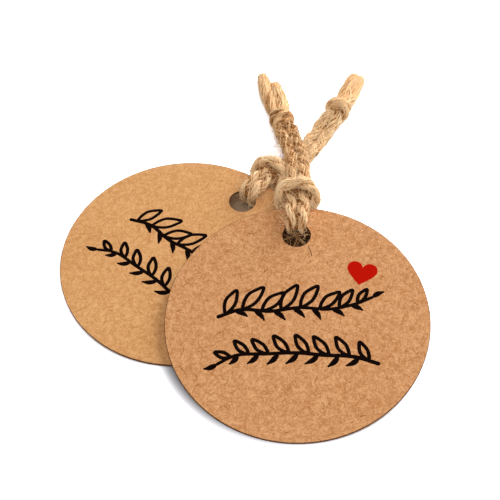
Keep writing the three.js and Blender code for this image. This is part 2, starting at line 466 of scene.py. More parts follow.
# The pen: the spacing of points in a stroke, how narrow its round ends get, how a stem thins, the width of an
# open leaf's line and the least width of a filled leaf as shares of the stroke, and a filled leaf's form
STROKE_STEP = 0.00008
STROKE_TIP = 0.02
STEM_THIN = 0.8
OPEN_LEAF_LINE = 0.86
FILLED_LEAF_LEAST = 0.5
FILLED_LEAF_HALF = 0.00048
FILLED_LEAF_FORM = 0.8
FILLED_LEAF_BEND = 0.08
LEAF_ANGLE_SPREAD = 3.0
PRINT_SEED = 5


class TagCardSettings(PropertyGroup):
    """Sizes and colours of the two cards"""

    diameter: FloatProperty(
        name="Diameter", description="Across the round card", default=0.045, unit="LENGTH", precision=4
    )
    thickness: FloatProperty(
        name="Thickness", description="Thickness of the board", default=0.0005, unit="LENGTH", precision=5
    )
    hole_diameter: FloatProperty(
        name="Hole", description="Across the punched hole", default=0.005, unit="LENGTH", precision=4
    )
    hole_to_edge: FloatProperty(
        name="Hole to edge", description="Board left outside the hole",
        default=0.0037, unit="LENGTH", precision=4,
    )
    kraft: FloatVectorProperty(
        name="Kraft", description="Colour of the board's face", default=(0.6, 0.289, 0.119), subtype="COLOR"
    )
    # The cut edge's colour is partly the edge's own darker brown and partly painted shade
    cut_edge_with_painted_shade: FloatVectorProperty(
        name="Cut edge", description="Colour of the die-cut edge",
        default=(0.11, 0.042, 0.012), subtype="COLOR",
    )


class TagPrintSettings(PropertyGroup):
    """Sizes and colours of the print"""

    stroke: FloatProperty(
        name="Stroke", description="Width of the pen strokes", default=0.00074, unit="LENGTH", precision=5
    )
    film: FloatProperty(
        name="Film", description="Height of the ink on the board",
        default=0.00002, unit="LENGTH", precision=6,
    )
    black: FloatVectorProperty(
        name="Black ink", description="Colour of the sprigs",
        default=(0.004, 0.0015, 0.001), subtype="COLOR",
    )
    red: FloatVectorProperty(
        name="Red ink", description="Colour of the heart", default=(0.48, 0.006, 0.001), subtype="COLOR"
    )


class TagStringSettings(PropertyGroup):
    """Sizes and colours of the jute strings"""

    thickness: FloatProperty(
        name="Thickness", description="Across one strand of twine",
        default=0.00235, unit="LENGTH", precision=5,
    )
    fuzz: IntProperty(
        name="Fuzz", description="Loose fibres on one string", default=1200, min=0, max=2000
    )
    jute: FloatVectorProperty(
        name="Jute", description="Colour of the twine", default=(0.87, 0.545, 0.265), subtype="COLOR"
    )
    pale: FloatVectorProperty(
        name="Pale fibre", description="Colour of the lightest fibres",
        default=(1.0, 0.76, 0.47), subtype="COLOR",
    )
    deep: FloatVectorProperty(
        name="Deep fibre", description="Colour of the darkest fibres",
        default=(0.38, 0.155, 0.038), subtype="COLOR",
    )


class TagStageSettings(PropertyGroup):
    """Light and floor"""

    lamp: FloatProperty(
        name="Lamp", description="Power of the main soft lamp", default=7.05, unit="POWER"
    )
    sky: FloatProperty(
        name="Sky", description="Strength of the light from all round", default=0.2
    )
    sky_colour: FloatVectorProperty(
        name="Sky colour", description="Colour of the light from all round",
        default=(1.0, 0.86, 0.7), subtype="COLOR",
    )
    floor: FloatVectorProperty(
        name="Floor", description="Colour of the floor", default=(0.86, 0.86, 0.86), subtype="COLOR"
    )


# Lines in space

def unit(vectors):
    return vectors / np.maximum(np.linalg.norm(vectors, axis=-1, keepdims=True), NO_LENGTH)


def measured(line):
    """Distance along a line at each of its points"""
    return np.concatenate([[0.0], np.cumsum(np.linalg.norm(np.diff(line, axis=0), axis=1))])


def resampled(line, step):
    """The same line with evenly spaced points"""
    along = measured(line)
    count = max(int(round(along[-1] / step)), 2)
    wanted = np.linspace(0.0, along[-1], count + 1)
    return np.stack([np.interp(wanted, along, line[:, axis]) for axis in range(3)], axis=1)


def smooth_line(points, step=LINE_STEP):
    """Evenly spaced points on the centripetal curve through the given ones, as in the part's source"""
    given = np.array(points, float)
    given = np.vstack([2 * given[0] - given[1], given, 2 * given[-1] - given[-2]])
    t = np.linspace(0.0, 1.0, SPAN_STEPS, endpoint=False)[:, None]
    parts = []
    for before, start, end, after in zip(given, given[1:], given[2:], given[3:]):
        spans = (start - before, end - start, after - end)
        a, b, c = (math.sqrt(np.linalg.norm(span)) for span in spans)
        leaving = b * ((start - before) / a - (end - before) / (a + b) + (end - start) / b)
        arriving = b * ((end - start) / b - (after - start) / (b + c) + (after - end) / c)
        parts.append(
            start * (2 * t**3 - 3 * t**2 + 1)
            + end * (3 * t**2 - 2 * t**3)
            + leaving * (t**3 - 2 * t**2 + t)
            + arriving * (t**3 - t**2)
        )
    return resampled(np.vstack([*parts, given[-2][None]]), step)


def carried_sides(line):
    """A sideways and an upright direction at each point of a line, carried along it without twisting"""
    tangent = unit(np.gradient(line, axis=0))
    side = np.empty_like(line)
    across = np.cross(tangent[0], (0.0, 0.0, 1.0))
    side[0] = unit(across) if np.linalg.norm(across) > LEAST_SLANT else np.array((1.0, 0.0, 0.0))
    for i in range(1, len(line)):
        side[i] = unit(side[i - 1] - tangent[i] * np.dot(side[i - 1], tangent[i]))
    return side, np.cross(tangent, side)


def outwards(side, upright, angle):
    """Directions away from a line, turned by an angle from its sideways towards its upright direction"""
    return side * np.cos(angle)[..., None] + upright * np.sin(angle)[..., None]


def wander(rng, count, reach, size):
    """Smooth random values around zero that change over about reach points"""
    reach = max(int(reach), 1)
    knots = rng.normal(0.0, size, count // reach + 4)
    rough = np.interp(np.arange(count + reach) / reach, np.arange(len(knots)), knots)
    return np.convolve(rough, np.ones(reach) / reach, mode="same")[:count]


def beside(points, side, spacing):
    """A middle line moved sideways, level with the table: side is -1 for left and 1 for right"""
    line = [Vector(point) for point in points]
    moved = []
    for i, point in enumerate(line):
        before, after = line[max(i - 1, 0)], line[min(i + 1, len(line) - 1)]
        right = Vector((after.y - before.y, before.x - after.x, 0.0)).normalized()
        moved.append(point + right * side * spacing / 2)
    return moved


# Where things are on a tag

def hole_offset(card):
    """How far the hole's centre is from the card's middle"""
    return card.diameter / 2 - card.hole_to_edge - card.hole_diameter / 2


def tag_matrix(name, card):
    """From the tag's own frame, from the card's middle and with +Y towards the hole, to the shared frame"""
    tag = TAGS[name]
    turn = (
        Matrix.Rotation(math.radians(-tag["heading"]), 4, "Z")
        @ Matrix.Rotation(math.radians(tag["lift"]), 4, "X")
        @ Matrix.Rotation(math.radians(-tag["roll"]), 4, "Y")
    )
    to_hole = turn @ Vector((0.0, hole_offset(card), 0.0))
    up = turn @ Vector((0.0, 0.0, 1.0))
    height = TABLE_GAP + card.diameter / 2 * math.hypot(up.x, up.y) + card.thickness / 2 * up.z
    place = Vector((tag["hole"][0] - to_hole.x, tag["hole"][1] - to_hole.y, height))
    return Matrix.Translation(place) @ turn


def from_hole(name, card):
    """Puts a point that is given from the hole's centre, in the tag's own frame, into the shared frame"""
    to_world = tag_matrix(name, card) @ Matrix.Translation((0.0, hole_offset(card), 0.0))
    return lambda place: to_world @ Vector(place)


def twine_line(name, card):
    """The string from inside the knot, through the hole and back into the knot"""
    tag = TAGS[name]
    placed = from_hole(name, card)
    hitch = [placed((x, y + HOLE_TUCK * max(0.0, 1 - y / HOLE_REACH), z)) for x, y, z in tag["hitch"]]
    left = beside(tag["tail"], -1, STRAND_SPACING)[::-1]
    right = beside(tag["tail"], 1, STRAND_SPACING)
    knot = Vector(tag["knot"])
    inside = [knot.lerp(left[0], KNOT_TUCK), knot.lerp(right[-1], KNOT_TUCK)]
    return smooth_line([inside[0], *left, *hitch, *right, inside[1]])


def twine_state(name, card, line):
    """For each point of the string's line: its share of the full width, how loose it is and its paleness,
    which holds the tail's tone, painted light on the hitch and a painted highlight on the crown
    """
    to_tag = tag_matrix(name, card).inverted()
    local = np.array([to_tag @ Vector(point) for point in line])
    width = np.interp(np.hypot(local[:, 1] - hole_offset(card), local[:, 2]), *WIDTH_FROM_HOLE)
    along = measured(line)
    loose = np.interp(np.minimum(along, along[-1] - along), *LOOSE_FROM_KNOT)
    painted_crown_highlight = np.interp(np.abs(along - along[-1] / 2), *PAINTED_HIGHLIGHT_FROM_CROWN)
    # Painted light: the hitch is paler than the tails, and the crown of its loop paler still as a painted
    # highlight
    pale = loose * TAGS[name]["tail_pale"] + (1 - loose) * HITCH_PAINTED_LIGHT + painted_crown_highlight
    return width * (1 + TAIL_SWELL * loose), loose, pale


# Meshes made of round strands

class Strands:
    """Collects round strands and makes one mesh of them, with a UV map along and round each strand"""

    def __init__(self, sides=STRAND_SIDES):
        self.sides = sides
        self.points, self.faces, self.uvs, self.tones = [], [], [], []
        self.count = 0
        self.made = 0

    def add(self, line, radii, tone):
        """A closed tube along a line. Its radius and its tone are numbers, or one for each point"""
        line = np.asarray(line, float)
        rings, sides = len(line), self.sides
        radii, tone = at_each_point(rings, radii, tone)
        side, upright = carried_sides(line)
        turn = np.arange(sides) * math.tau / sides
        ring = outwards(side[:, None], upright[:, None], turn)
        self.points.append((line[:, None] + ring * radii[:, None, None]).reshape(-1, 3))
        self.tones.append(np.repeat(tone, sides))
        i, j = np.meshgrid(np.arange(rings - 1), np.arange(sides), indexing="ij")
        k = (j + 1) % sides
        quads = np.stack([i * sides + j, i * sides + k, (i + 1) * sides + k, (i + 1) * sides + j], axis=-1)
        self.faces.extend((quads.reshape(-1, 4) + self.count).tolist())
        along = measured(line)
        shift = UV_SHIFT * self.made
        u = np.stack([along[i], along[i], along[i + 1], along[i + 1]], axis=-1)
        v = np.stack([j, j + 1, j + 1, j], axis=-1) / sides
        self.uvs.append(np.stack([u, v + shift], axis=-1).reshape(-1, 2))
        for start, u_there, order in ((0, along[0], -1), ((rings - 1) * sides, along[-1], 1)):
            self.faces.append([self.count + start + s for s in range(sides)][::order])
            self.uvs.append(np.tile([u_there, shift], (sides, 1)))
        self.count += rings * sides
        self.made += 1

    def mesh(self, name):
        """The mesh of all strands. None of it goes below the table"""
        mesh = bpy.data.meshes.new(name)
        points = np.vstack(self.points)
        points[:, 2] = np.maximum(points[:, 2], TABLE_GAP)
        mesh.from_pydata(points.tolist(), [], self.faces)
        layer = mesh.uv_layers.new(name="UVMap")
        layer.data.foreach_set("uv", np.vstack(self.uvs).astype(np.float32).ravel())
        attribute = mesh.attributes.new("tone", "FLOAT", "POINT")
        attribute.data.foreach_set("value", np.concatenate(self.tones).astype(np.float32))
        mesh.polygons.foreach_set("use_smooth", np.ones(len(mesh.polygons), bool))
        mesh.update()
        return mesh


def at_each_point(count, *values):
    """Each value as one number for each point of a line"""
    return [np.broadcast_to(np.asarray(value, float), (count,)) for value in values]


def spin_twine(strands, line, width, rng, loose=0.0, pale=0.0):
    """Adds a two-ply twine along a line. Each ply is a bundle of fibres, twisted against the plies' twist.
    Where it is loose, from 0 to 1, its plies merge, and pale is added to its tone"""
    count = len(line)
    width, loose, pale = at_each_point(count, width, loose, pale)
    ply_out = PLY_OUT * (1 - LOOSE_PLIES * loose)
    bundle_out = BUNDLE_OUT * (1 + LOOSE_BUNDLES * loose)
    side, upright = carried_sides(line)
    along = measured(line)
    reach = WANDER_REACH / LINE_STEP
    swing = wander(rng, count, 3 * reach, PLY_TURN_WANDER)
    plies = [swing + math.pi * ply - math.tau * along / PLY_TURN for ply in range(2)]
    for turn in plies:
        out = ply_out * width * (1 + wander(rng, count, reach, PLY_OUT_WANDER))
        middle = line + outwards(side, upright, turn) * out[:, None]
        start = rng.uniform(0, math.tau)
        # The ply's inner tube is dark: painted shade seen between its fibres
        strands.add(middle, bundle_out * width, PLY_INSIDE_PALE * pale + PLY_INSIDE_SHADE_TONE)
        for fibre in range(FIBRES_PER_PLY):
            around = start + math.tau * (fibre / FIBRES_PER_PLY + along / FIBRE_TURN)
            around = around + wander(rng, count, reach, FIBRE_TURN_WANDER)
            out = width * (bundle_out + wander(rng, count, reach, FIBRE_OUT_WANDER))
            radii = FIBRE_RADIUS + wander(rng, count, reach, FIBRE_RADIUS_WANDER)
            path = middle + outwards(side, upright, around) * out[:, None]
            from_middle = np.linalg.norm(path - line, axis=1) / width
            tone = rng.normal(0.0, TONE_SPREAD) + wander(rng, count, 2 * reach, TONE_WANDER)
            # Painted shade: fibres nearer the twine's middle are darker
            tone = tone + pale + np.interp(from_middle, *PAINTED_SHADE_FROM_MIDDLE)
            strands.add(path, width * np.clip(radii, *FIBRE_RADII), np.clip(tone, *TONE_LIMITS))
    for _ in range(int(along[-1] * OVER_PER_METRE)):
        span = int(rng.uniform(*OVER_LENGTH) / LINE_STEP)
        first = rng.integers(0, max(count - span, 1))
        part = slice(first, min(first + span, count))
        steps = np.linspace(0.0, 1.0, part.stop - part.start)
        turn = plies[rng.integers(0, 2)][part] + rng.normal(0.0, OVER_TURN_SPREAD)
        turn = turn + rng.normal(0.0, OVER_DRIFT_SPREAD) * steps
        out = rng.uniform(*OVER_OUT) + OVER_BOW * rng.uniform(-1, 1) * np.sin(math.pi * steps)
        radius = rng.uniform(*OVER_RADIUS) * np.interp(steps, *OVER_TAPER)
        tone = rng.normal(*OVER_TONE) + pale[part]
        path = line[part] + outwards(side[part], upright[part], turn) * (width[part] * out)[:, None]
        strands.add(path, radius, np.clip(tone, *OVER_TONE_LIMITS))


def add_shade_fillers(strands, name, card):
    """Dark tubes of painted shade, between the two strands from the hole to the knot and across the loop's
    inside
    """
    tag = TAGS[name]
    placed = from_hole(name, card)
    pairs = list(zip(tag["hitch"], tag["hitch"][::-1]))[:SHADE_FILLER_POINTS]
    start = [placed((Vector(left) + Vector(right)) / 2) for left, right in pairs[::-1]]
    line = smooth_line([*start, *(Vector(point) for point in tag["tail"]), Vector(tag["knot"])])
    strands.add(line - np.array((0.0, 0.0, SHADE_FILLER_DROP)), SHADE_FILLER_RADIUS, SHADE_FILLER_TONE)
    for y, z in CROSS_SHADE_FILLERS:
        across = smooth_line([placed((x, y, z)) for x in (-CROSS_HALF, 0.0, CROSS_HALF)])
        strands.add(across, SHADE_FILLER_RADIUS, SHADE_FILLER_TONE)


def hair_line(start, outward, along, length, curl, rng):
    """A loose fibre that leaves a surface and bends over"""
    steps = np.linspace(0.0, 1.0, HAIR_POINTS)[:, None]
    bend = rng.normal(0.0, 1.0, 3)
    return start + length * (outward * steps + along * steps * HAIR_ALONG + curl * bend * steps**2)


# Node helpers

def set_inputs(node, **values):
    """Sets a node's inputs by their names in small letters"""
    for key, value in values.items():
        node.inputs[key.replace("_", " ").title()].default_value = value


def add_node(tree, kind, **values):
    """A new node. A value is a property of the node or, where it has none of that name, an input"""
    node = tree.nodes.new(kind)
    for key, value in values.items():
        if key in node.bl_rna.properties:
            setattr(node, key, value)
        else:
            set_inputs(node, **{key: value})
    return node


def join(tree, *pairs):
    for start, end in pairs:
        tree.links.new(start, end)


def feed(tree, socket, value):
    """Joins a socket to an input, or sets the input to a number or a plain colour"""
    if isinstance(value, bpy.types.NodeSocket):
        join(tree, (value, socket))
    elif isinstance(value, (int, float)):
        socket.default_value = value
    else:
        socket.default_value = (*value[:3], 1.0)


def new_group(name, inputs, outputs):
    """A shader node group with its input and output nodes. Each socket is its name and its type"""
    tree = bpy.data.node_groups.new(name, "ShaderNodeTree")
    for sockets, way in ((inputs, "INPUT"), (outputs, "OUTPUT")):
        for label, kind in sockets:
            tree.interface.new_socket(name=label, in_out=way, socket_type="NodeSocket" + kind)
    return tree, tree.nodes.new("NodeGroupInput"), tree.nodes.new("NodeGroupOutput")


def group_node(tree, name, build, **values):
    """A node of a shared group, which is built when it is first needed"""
    node = add_node(tree, "ShaderNodeGroup")
    node.node_tree = bpy.data.node_groups.get(name) or build(name)
    for label, value in values.items():
        feed(tree, node.inputs[label.title()], value)
    return node


def math_node(tree, operation, first, second):
    node = add_node(tree, "ShaderNodeMath", operation=operation)
    for socket, value in zip(node.inputs, (first, second)):
        feed(tree, socket, value)
    return node.outputs["Value"]


def weighted_sum(tree, *pairs):
    """The sum of the given values, each times its weight"""
    total = None
    for value, weight in pairs:
        part = math_node(tree, "MULTIPLY", value, weight)
        total = part if total is None else math_node(tree, "ADD", total, part)
    return total


def mix_colour(tree, blend, factor, first, second):
    """A mix of two colours, each a socket or a plain colour"""
    node = add_node(tree, "ShaderNodeMix", data_type="RGBA", blend_type=blend)
    sockets = [s for s in node.inputs if s.enabled]
    for socket, value in zip(sockets, (factor, first, second)):
        feed(tree, socket, value)
    return next(s for s in node.outputs if s.enabled)


def map_range(tree, value, from_min=0.0, from_max=1.0, to_min=0.0, to_max=1.0):
    """A value spread from one range over another, and kept in it"""
    node = add_node(
        tree, "ShaderNodeMapRange", from_min=from_min, from_max=from_max, to_min=to_min, to_max=to_max
    )
    join(tree, (value, node.inputs["Value"]))
    return node.outputs["Result"]


def scaled(tree, vector, scale):
    """A vector or colour times a number"""
    node = add_node(tree, "ShaderNodeVectorMath", operation="SCALE")
    feed(tree, node.inputs["Scale"], scale)
    join(tree, (vector, node.inputs[0]))
    return node.outputs["Vector"]


def speckle(tree, vector, scale, low, high, detail=2.0, distortion=0.0):
    """A noise pattern spread from 0 at low to 1 at high"""
    noise = add_node(tree, "ShaderNodeTexNoise", scale=scale, detail=detail, distortion=distortion)
    join(tree, (vector, noise.inputs["Vector"]))
    return map_range(tree, noise.outputs["Fac"], low, high)


def crossed_fibres(tree, vector, directions, span):
    """Short lines in several directions, each an angle, a length and a width. They are stretched noise"""
    found = None
    for angle, length, width in directions:
        stretch = add_node(tree, "ShaderNodeMapping", vector_type="TEXTURE")
        turn, place = (0.0, 0.0, math.radians(angle)), (angle, 2 * angle, 3 * angle)
        set_inputs(stretch, rotation=turn, location=place, scale=(length, width, 1.0))
        join(tree, (vector, stretch.inputs["Vector"]))
        lines = speckle(tree, stretch.outputs["Vector"], 1.0, *span, detail=1.0, distortion=0.4)
        found = lines if found is None else math_node(tree, "MAXIMUM", found, lines)
    return found


def kraft_group(name):
    """Unbleached board: soft clouds, fine mottle, pressed fibres and dark flecks. Its vector is in metres"""
    tree, given, out = new_group(
        name, (("Vector", "Vector"), ("Colour", "Color"), ("Mottle", "Float")), GROUP_OUTPUTS
    )
    vector = scaled(tree, given.outputs["Vector"], MILLIMETRES)
    cloud = speckle(tree, vector, scale=0.18, low=0.3, high=0.7)
    mottle = speckle(tree, vector, scale=0.95, low=0.3, high=0.7, detail=3.0, distortion=0.6)
    grain = speckle(tree, vector, scale=3.4, low=0.28, high=0.72)
    level = weighted_sum(
        tree,
        (mottle, MOTTLE_WEIGHT),
        (grain, GRAIN_WEIGHT),
        (cloud, CLOUD_WEIGHT),
        (crossed_fibres(tree, vector, LIGHT_FIBRES, FIBRE_RANGE), FIBRE_WEIGHT),
        (crossed_fibres(tree, vector, DARK_FIBRES, FIBRE_RANGE), -FIBRE_WEIGHT),
    )
    tint = mix_colour(tree, "MIX", level, DARK_TINT, LIGHT_TINT)
    fleck = crossed_fibres(tree, vector, FLECKS, FLECK_RANGE)
    tint = mix_colour(tree, "MULTIPLY", math_node(tree, "MULTIPLY", fleck, FLECK_STRENGTH), tint, FLECK_TINT)
    colour = mix_colour(tree, "MULTIPLY", given.outputs["Mottle"], given.outputs["Colour"], tint)
    return finished_group(tree, out, colour, level, map_range(tree, grain, 0.0, 1.0, *BOARD_ROUGHNESS))


def fibre_group(name):
    """Spun or loose jute: tone from the strand's own value, with fine streaks along it from the UV map"""
    tree, given, out = new_group(
        name,
        (("UV", "Vector"), ("Tone", "Float"), ("Deep", "Color"), ("Middle", "Color"), ("Pale", "Color")),
        GROUP_OUTPUTS,
    )
    stretch = add_node(tree, "ShaderNodeMapping")
    set_inputs(stretch, scale=STREAK_SCALE)
    join(tree, (given.outputs["UV"], stretch.inputs["Vector"]))
    streak = speckle(tree, stretch.outputs["Vector"], scale=1.0, low=0.25, high=0.75, detail=3.0)
    joints = speckle(tree, stretch.outputs["Vector"], scale=0.3, low=0.3, high=0.7, detail=1.0)
    tone = weighted_sum(tree, (given.outputs["Tone"], 1.0), (streak, STREAK_WEIGHT), (joints, JOINT_WEIGHT))
    tone = math_node(tree, "SUBTRACT", tone, TONE_DROP)
    low = map_range(tree, tone, from_max=MIDDLE_TONE)
    high = map_range(tree, tone, from_min=MIDDLE_TONE)
    colour = mix_colour(tree, "MIX", low, given.outputs["Deep"], given.outputs["Middle"])
    colour = mix_colour(tree, "MIX", high, colour, given.outputs["Pale"])
    colour = scaled(tree, colour, map_range(tree, tone, DARKEST_TONE, 0.0, DARKEST_SHARE, 1.0))
    return finished_group(tree, out, colour, streak, map_range(tree, streak, 0.0, 1.0, *JUTE_ROUGHNESS))


def finished_group(tree, out, colour, height, roughness):
    join(
        tree,
        (colour, out.inputs["Colour"]),
        (height, out.inputs["Height"]),
        (roughness, out.inputs["Roughness"]),
    )
    return tree


# Materials

def new_material(name, gloss):
    """A material with only its Principled shader and output"""
    material = bpy.data.materials.new(name)
    material.use_nodes = True
    shader = material.node_tree.nodes["Principled BSDF"]
    shader.inputs["Specular IOR Level"].default_value = gloss
    return material, material.node_tree, shader


def dress(tree, shader, colour, pattern, strength, distance):
    """Gives a shader its colour, and the roughness and relief of a pattern's group node"""
    relief = add_node(tree, "ShaderNodeBump", strength=strength, distance=distance)
    join(
        tree,
        (colour, shader.inputs["Base Color"]),
        (pattern.outputs["Roughness"], shader.inputs["Roughness"]),
        (pattern.outputs["Height"], relief.inputs["Height"]),
        (relief.outputs["Normal"], shader.inputs["Normal"]),
    )


def board_node(tree, colour, mottle):
    place = add_node(tree, "ShaderNodeTexCoord").outputs["Object"]
    return group_node(tree, "Kraft fibres", kraft_group, vector=place, colour=colour, mottle=mottle)


def kraft_material(name, colour, mottle, strength):
    material, tree, shader = new_material(name, BOARD_GLOSS)
    kraft = board_node(tree, colour, mottle)
    dress(tree, shader, kraft.outputs["Colour"], kraft, strength, BOARD_RELIEF)
    return material


def ink_material(name, colour):
    """Ink soaked into board: the board's mottle shows through it a little"""
    material, tree, shader = new_material(name, INK_GLOSS)
    kraft = board_node(tree, colour, INK_MOTTLE)
    ink = mix_colour(tree, "MIX", INK_COVER, kraft.outputs["Colour"], colour)
    dress(tree, shader, ink, kraft, INK_BUMP, INK_RELIEF)
    return material


def fibre_material(name, string, pale_shift):
    """Jute. A higher shift makes all of it paler"""
    if name in bpy.data.materials:
        return bpy.data.materials[name]
    material, tree, shader = new_material(name, JUTE_GLOSS)
    uv = add_node(tree, "ShaderNodeUVMap", uv_map="UVMap").outputs["UV"]
    tone = add_node(tree, "ShaderNodeAttribute", attribute_name="tone").outputs["Fac"]
    tone = math_node(tree, "ADD", tone, pale_shift)
    colours = {"deep": string.deep, "middle": string.jute, "pale": string.pale}
    jute = group_node(tree, "Jute fibre", fibre_group, tone=tone, **colours)
    join(tree, (uv, jute.inputs["UV"]))
    dress(tree, shader, jute.outputs["Colour"], jute, JUTE_BUMP, JUTE_RELIEF)
    return material


# Pieces

def new_piece(name, mesh, *materials):
    piece = bpy.data.objects.new(name, mesh)
    bpy.context.scene.collection.objects.link(piece)
    for material in materials:
        mesh.materials.append(material)
    return piece


class HANGTAG_OT_cards(Operator):
    """Make the two round kraft cards with their punched holes"""

    bl_idname = "hangtag.cards"
    bl_label = "Cards"

    def execute(self, context):
        card = context.scene.tag_card
        # The edge's material holds painted shade as well as the edge's own darker brown
        edge = kraft_material("kraft_cut_edge", card.cut_edge_with_painted_shade, EDGE_MOTTLE, EDGE_BUMP)
        for name, tag in TAGS.items():
            board = [value * tint for value, tint in zip(card.kraft, tag["tint"])]
            face = kraft_material(name + "_kraft_face", board, tag["mottle"], FACE_BUMP)
            mesh = board_mesh(name + "_board", card)
            mesh.transform(tag_matrix(name, card))
            piece = new_piece(name + "_board", mesh, face, edge)
            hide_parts(name + "_card")
            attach(piece, name + "_tag")
        return {"FINISHED"}


def board_mesh(name, card):
    """A round card with its punched hole, in the tag's own frame. Its slopes have the edge's material"""
    bm = bmesh.new()
    bmesh.ops.create_circle(bm, segments=CARD_SEGMENTS, radius=card.diameter / 2)
    hole_place = Matrix.Translation((0.0, hole_offset(card), 0.0))
    bmesh.ops.create_circle(bm, segments=CARD_SEGMENTS, radius=card.hole_diameter / 2, matrix=hole_place)
    made = bmesh.ops.bridge_loops(bm, edges=bm.edges[:])
    raised = bmesh.ops.extrude_face_region(bm, geom=made["faces"])["geom"]
    raised = [v for v in raised if isinstance(v, bmesh.types.BMVert)]
    bmesh.ops.translate(bm, vec=(0.0, 0.0, card.thickness), verts=raised)
    bmesh.ops.translate(bm, vec=(0.0, 0.0, -card.thickness / 2), verts=bm.verts)
    bmesh.ops.recalc_face_normals(bm, faces=bm.faces)
    rims = [e for e in bm.edges if len(e.link_faces) == 2 and e.calc_face_angle(0.0) > CORNER_ANGLE]
    bmesh.ops.bevel(bm, geom=rims, offset=EDGE_BEVEL, segments=2, profile=0.5, affect="EDGES", material=-1)
    for polygon in bm.faces:
        level = abs(polygon.normal.z)
        polygon.smooth = level < SMOOTH_BELOW
        polygon.material_index = 1 if level < EDGE_BELOW else 0
    mesh = bpy.data.meshes.new(name)
    bm.to_mesh(mesh)
    bm.free()
    return mesh


# The print

def flat_line(points):
    """A smooth line in the plane of the board through points in millimetres"""
    return smooth_line([(x / MILLIMETRES, y / MILLIMETRES, 0.0) for x, y in points], STROKE_STEP)


def pen_stroke(curve, line, radii):
    """One stroke with round ends"""
    along = measured(line)
    left = np.minimum(along, along[-1] - along)
    ends = np.clip(left / radii, 0.0, 1.0)
    radii = radii * np.sqrt(np.clip(1 - (1 - ends) ** 2, STROKE_TIP, 1.0))
    spline = curve.splines.new("POLY")
    spline.points.add(len(line) - 1)
    spline.points.foreach_set("co", np.hstack([line, np.ones((len(line), 1))]).ravel())
    spline.points.foreach_set("radius", radii)


def stroke_curve():
    """An empty curve of round strokes, whose points' radii are their real ones"""
    curve = bpy.data.curves.new("strokes", "CURVE")
    curve.dimensions = "3D"
    curve.bevel_depth = 1.0
    curve.bevel_resolution = 2
    curve.use_fill_caps = True
    return curve


def curve_mesh(curve, name):
    """The mesh of a curve, which is then removed"""
    holder = bpy.data.objects.new(name, curve)
    bpy.context.scene.collection.objects.link(holder)
    mesh = bpy.data.meshes.new_from_object(holder.evaluated_get(bpy.context.evaluated_depsgraph_get()))
    bpy.data.objects.remove(holder)
    bpy.data.curves.remove(curve)
    mesh.name = name
    return mesh


def leaf_line(place, direction, length):
    """The closed outline of a leaf that starts at place and points along direction, in millimetres"""
    across = np.array((-direction[1], direction[0]))
    return [place + length * (x * direction + y * across) for x, y in LEAF_OUTLINE]


def draw_sprigs(stroke):
    """Two sprigs as pen strokes"""
    rng = np.random.default_rng(PRINT_SEED)
    curve = stroke_curve()
    half = stroke / 2
    for sprig in SPRIGS:
        stem = flat_line(sprig["stem"])
        pen_stroke(curve, stem, half * np.linspace(1.0, STEM_THIN, len(stem)))
        tangent = unit(np.gradient(stem, axis=0))
        for place, length, angle, filled in sprig["leaves"]:
            at = min(int(place * len(stem)), len(stem) - 1)
            turn = math.radians(angle + rng.normal(0.0, LEAF_ANGLE_SPREAD))
            turn += math.atan2(tangent[at][1], tangent[at][0])
            direction = np.array((math.cos(turn), math.sin(turn)))
            start = stem[at][:2] * MILLIMETRES
            if filled:
                across = np.array((-direction[1], direction[0]))
                bend = start + direction * length * 0.5 + FILLED_LEAF_BEND * length * across
                line = flat_line((start, bend, start + direction * length))
                share = np.linspace(0.0, 1.0, len(line))
                fat = FILLED_LEAF_HALF * np.sin(math.pi * share**FILLED_LEAF_FORM) ** FILLED_LEAF_FORM
                pen_stroke(curve, line, np.maximum(fat, half * FILLED_LEAF_LEAST))
            else:
                line = flat_line(leaf_line(start, direction, length))
                pen_stroke(curve, line, np.full(len(line), half * OPEN_LEAF_LINE))
    return curve


def draw_heart():
    """A plain heart as one closed flat outline"""
    curve = bpy.data.curves.new("heart_outline", "CURVE")
    curve.dimensions = "2D"
    curve.fill_mode = "BOTH"
    curve.extrude = 1.0
    curve.resolution_u = HEART_SMOOTHNESS
    spline = curve.splines.new("BEZIER")
    spline.bezier_points.add(len(HEART_CORNERS) - 1)
    spline.use_cyclic_u = True
    for point, (place, before, after) in zip(spline.bezier_points, HEART_CORNERS):
        point.handle_left_type = point.handle_right_type = "FREE"
        point.co = (*place, 0.0)
        point.handle_left = (*before, 0.0)
        point.handle_right = (*after, 0.0)
    return curve


class HANGTAG_OT_print(Operator):
    """Print two rows of leafy sprigs and a small heart on each card"""

    bl_idname = "hangtag.print"
    bl_label = "Print"

    def execute(self, context):
        card, ink = context.scene.tag_card, context.scene.tag_print
        black = ink_material("black_ink", ink.black)
        red = ink_material("red_ink", ink.red)
        size = HEART_SIZE / MILLIMETRES
        heart_place = (
            Matrix.Translation((HEART_PLACE[0] / MILLIMETRES, HEART_PLACE[1] / MILLIMETRES, 0.0))
            @ Matrix.Rotation(math.radians(HEART_TURN), 4, "Z")
            @ Matrix.Diagonal((size, size, ink.film, 1.0))
        )
        for name in TAGS:
            to_world = tag_matrix(name, card) @ Matrix.Translation((0.0, 0.0, card.thickness / 2))
            sprigs = curve_mesh(draw_sprigs(ink.stroke), name + "_sprigs")
            sprigs.transform(to_world @ Matrix.Diagonal((1.0, 1.0, ink.film / (ink.stroke / 2), 1.0)))
            heart = curve_mesh(draw_heart(), name + "_heart")
            heart.transform(to_world @ heart_place)
            for mesh, material, slot in ((sprigs, black, "black_ink"), (heart, red, "red_ink")):
                mesh.materials.clear()
                piece = new_piece(mesh.name, mesh, material)
                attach(piece, name + "_tag")
        return {"FINISHED"}


# The strings

def knot_frame(tag):
    """From the knot's own frame, +Y along the string, to the shared frame"""
    start, end = Vector(tag["tail"][-1]), Vector(tag["ends"][0])
    turn = math.atan2(end.y - start.y, end.x - start.x) - math.pi / 2
    return Matrix.Translation(tag["knot"]) @ Matrix.Rotation(turn, 4, "Z")


